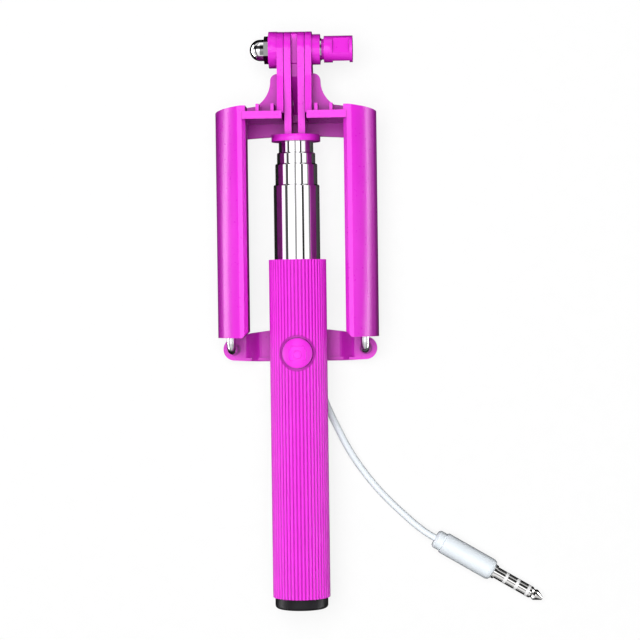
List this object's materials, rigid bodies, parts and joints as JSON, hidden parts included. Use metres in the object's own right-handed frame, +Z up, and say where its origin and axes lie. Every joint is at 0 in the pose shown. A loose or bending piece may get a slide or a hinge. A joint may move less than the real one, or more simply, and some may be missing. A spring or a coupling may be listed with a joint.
{
  "type": "selfie stick",
  "caption": "Wired telescopic selfie stick, folded: ribbed pink grip with a shutter button, chrome tubes, hinged spring-jaw phone bracket, thumb knob and audio-plug cord.",
  "frame": {"origin": "on the surface under the middle of the folded, collapsed stick, which lies on its back", "axes": "+Y along the stick from the end cap to the head hinge, +Z up away from the surface, on the shutter button's side, +X to the right as seen from above"},
  "size_m": [0.0939, 0.1676, 0.0218],
  "materials": {
    "pink_plastic": "moulded, semi-gloss",
    "pink_grip": "satin moulded ribs",
    "chrome_steel": "polished plated tube",
    "bright_steel": "drawn steel",
    "plug_metal": "nickel plated",
    "white_cord": "soft cool white vinyl",
    "white_plastic": "moulded",
    "black_plastic": "moulded",
    "circuit_board": "solder mask"
  },
  "bodies": {
    "handle": {"grip_sleeve": "pink_grip", "handle_liner": "black_plastic", "tube_1": "chrome_steel", "end_cap": "black_plastic", "switch_board": "circuit_board", "dome_switch": "bright_steel", "button_bezel": "pink_grip", "coiled_wire": "white_cord"},
    "button": {"button_cap": "pink_grip"},
    "stage_2": {"tube_2": "chrome_steel", "friction_ring_2": "white_plastic"},
    "stage_3": {"tube_3": "chrome_steel", "friction_ring_3": "white_plastic"},
    "head": {"tube_4": "chrome_steel", "friction_ring_4": "white_plastic", "head_fork": "pink_plastic", "cord_gland": "white_cord", "cord": "white_cord", "plug_collar": "white_cord", "plug_body": "white_cord", "plug_sleeve": "plug_metal", "plug_ring_2": "plug_metal", "plug_ring_1": "plug_metal", "plug_tip": "plug_metal", "plug_insulators": "white_plastic"},
    "bracket": {"phone_bracket": "pink_plastic", "arm_cover_left": "pink_plastic", "arm_cover_right": "pink_plastic", "rod_guides": "black_plastic", "dome_nut": "chrome_steel", "spring_left": "bright_steel", "spring_right": "bright_steel"},
    "knob": {"hinge_bolt": "bright_steel", "thumb_knob": "pink_plastic", "knob_washer": "bright_steel"},
    "jaw": {"lower_jaw": "pink_plastic", "rod_left": "bright_steel", "rod_right": "bright_steel", "rod_stops": "bright_steel", "rod_clips": "bright_steel"}
  },
  "joints": [
    {"name": "button_press", "type": "slide", "parent": "handle", "child": "button", "axis": [0, 0, -1], "range_m": [0, 0.0003], "stiffness_N_per_m": 600},
    {"name": "tube_2_slide", "type": "slide", "parent": "handle", "child": "stage_2", "axis": [0, 1, 0], "range_m": [0, 0.085]},
    {"name": "tube_3_slide", "type": "slide", "parent": "stage_2", "child": "stage_3", "axis": [0, 1, 0], "range_m": [0, 0.085]},
    {"name": "tube_4_slide", "type": "slide", "parent": "stage_3", "child": "head", "axis": [0, 1, 0], "range_m": [0, 0.085]},
    {"name": "bracket_fold", "type": "hinge", "parent": "head", "child": "bracket", "pos_m": [0, 0.07845, 0.0132], "axis": [1, 0, 0], "range_deg": [0, 250]},
    {"name": "knob_turn", "type": "hinge", "parent": "bracket", "child": "knob", "pos_m": [0.01, 0.07845, 0.0132], "axis": [1, 0, 0], "continuous": true},
    {"name": "jaw_slide", "type": "slide", "parent": "bracket", "child": "jaw", "axis": [0, -1, 0], "range_m": [0, 0.022], "stiffness_N_per_m": 180, "springref_m": -0.012, "deforming": ["spring_left", "spring_right"]}
  ]
}
